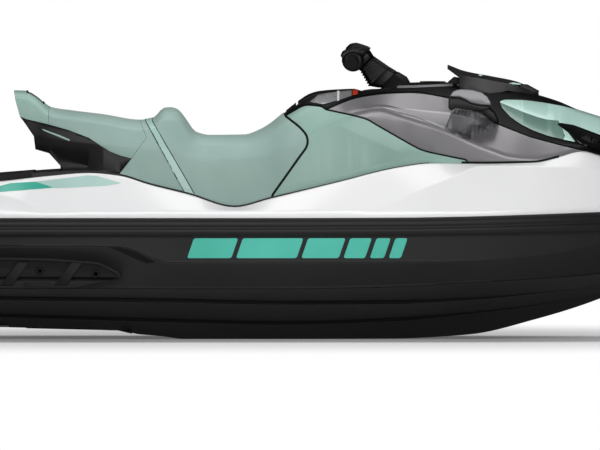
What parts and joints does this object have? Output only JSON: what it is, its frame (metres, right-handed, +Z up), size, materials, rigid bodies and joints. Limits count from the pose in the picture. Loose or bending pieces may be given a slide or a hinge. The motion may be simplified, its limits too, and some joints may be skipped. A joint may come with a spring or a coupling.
{
  "type": "personal watercraft",
  "caption": "Three-seat personal watercraft with a V hull, saddle seat, turning handlebar, lifting front hood, glovebox, folding boarding step and steerable jet nozzle.",
  "frame": {"origin": "on the centreline at the still waterline, 1450 mm forward of the deck's rear edge", "axes": "+X towards the bow, +Y to port, +Z up"},
  "size_m": [3.3199, 1.2518, 1.1472],
  "materials": {
    "hull_black": "gelcoat, dark, semi-gloss",
    "deck_white": "moulded white, gloss",
    "frame_black": "grained moulding",
    "rail_black": "extruded rubber",
    "trim_black": "grained moulding",
    "mat_foam": "grooved foam",
    "seat_mint": "coated seat cover over foam",
    "panel_mint": "moulded, satin gloss",
    "cowl_grey": "metallic grey, semi-gloss",
    "hood_black": "moulded black, semi-gloss",
    "accent_mint": "painted, gloss",
    "insert_black": "polished black",
    "mirror_glass": "silvered",
    "grip_rubber": "ribbed rubber",
    "bar_steel": "black powder coat",
    "lever_metal": "black painted",
    "gauge_black": "display cover",
    "tub_black": "moulded",
    "pump_alloy": "anodised cast alloy",
    "impeller_steel": "cast, brushed",
    "shaft_steel": "turned",
    "plate_black": "dark anodised",
    "bucket_black": "moulded composite",
    "eye_steel": "polished stainless",
    "step_steel": "stainless tube",
    "engine_grey": "cast block"
  },
  "bodies": {
    "hull": {"hull": "hull_black", "deck": "deck_white", "centre_frame": "frame_black", "rub_rail": "rail_black", "sponsons": "trim_black", "footwell_mats": "mat_foam", "platform_mat": "mat_foam", "seat_front": "seat_mint", "seat_rear": "seat_mint", "tail_support": "trim_black", "grab_handle": "panel_mint", "side_panels": "panel_mint", "upper_cowls": "cowl_grey", "console": "trim_black", "gauge": "gauge_black", "glovebox_tub": "tub_black", "front_bin": "tub_black", "steering_base": "trim_black", "pump_housing": "pump_alloy", "bucket_brackets": "pump_alloy", "ride_plate": "plate_black", "intake_grate": "eye_steel", "bow_eye": "eye_steel", "stern_eyes": "eye_steel", "tow_eye": "eye_steel", "step_hinges": "eye_steel", "hood_hinges": "trim_black", "engine": "engine_grey"},
    "steering": {"bar_neck": "trim_black", "handlebar": "bar_steel", "grips": "grip_rubber", "lever_housings": "trim_black", "levers": "lever_metal", "bar_pad": "trim_black"},
    "nozzle": {"steering_nozzle": "pump_alloy"},
    "bucket": {"reverse_bucket": "bucket_black"},
    "rotor": {"impeller": "impeller_steel", "drive_shaft": "shaft_steel"},
    "front_hood": {"hood": "hood_black", "hood_accents": "accent_mint", "hood_inserts": "insert_black", "wind_deflector": "trim_black", "mirror_housings": "cowl_grey", "mirror_glasses": "mirror_glass"},
    "glovebox_door": {"glovebox_lid": "trim_black"},
    "step": {"boarding_step": "step_steel"}
  },
  "joints": [
    {"name": "steering_turn", "type": "hinge", "parent": "hull", "child": "steering", "pos_m": [0.556, 0, 0.747], "axis": [-0.7071, 0, 0.7071], "range_deg": [-25, 25]},
    {"name": "nozzle_turn", "type": "hinge", "parent": "hull", "child": "nozzle", "pos_m": [-1.26, 0, -0.091], "axis": [0, 0, 1], "range_deg": [-20, 20]},
    {"name": "bucket_swing", "type": "hinge", "parent": "hull", "child": "bucket", "pos_m": [-1.26, 0, -0.091], "axis": [0, -1, 0], "range_deg": [0, 60]},
    {"name": "impeller_spin", "type": "hinge", "parent": "hull", "child": "rotor", "pos_m": [-0.98, 0, -0.091], "axis": [1, 0, 0], "continuous": true},
    {"name": "hood_lift", "type": "hinge", "parent": "hull", "child": "front_hood", "pos_m": [1.738, 0, 0.356], "axis": [0, 1, 0], "range_deg": [0, 50]},
    {"name": "glovebox_open", "type": "hinge", "parent": "hull", "child": "glovebox_door", "pos_m": [0.421, 0, 0.709], "axis": [0, 1, 0], "range_deg": [0, 60]},
    {"name": "step_fold", "type": "hinge", "parent": "hull", "child": "step", "pos_m": [-1.412, 0, 0.014], "axis": [0, -1, 0], "range_deg": [0, 170]}
  ],
  "couplings": [
    {"joint": "nozzle_turn", "follows": "steering_turn", "ratio": -0.8}
  ]
}
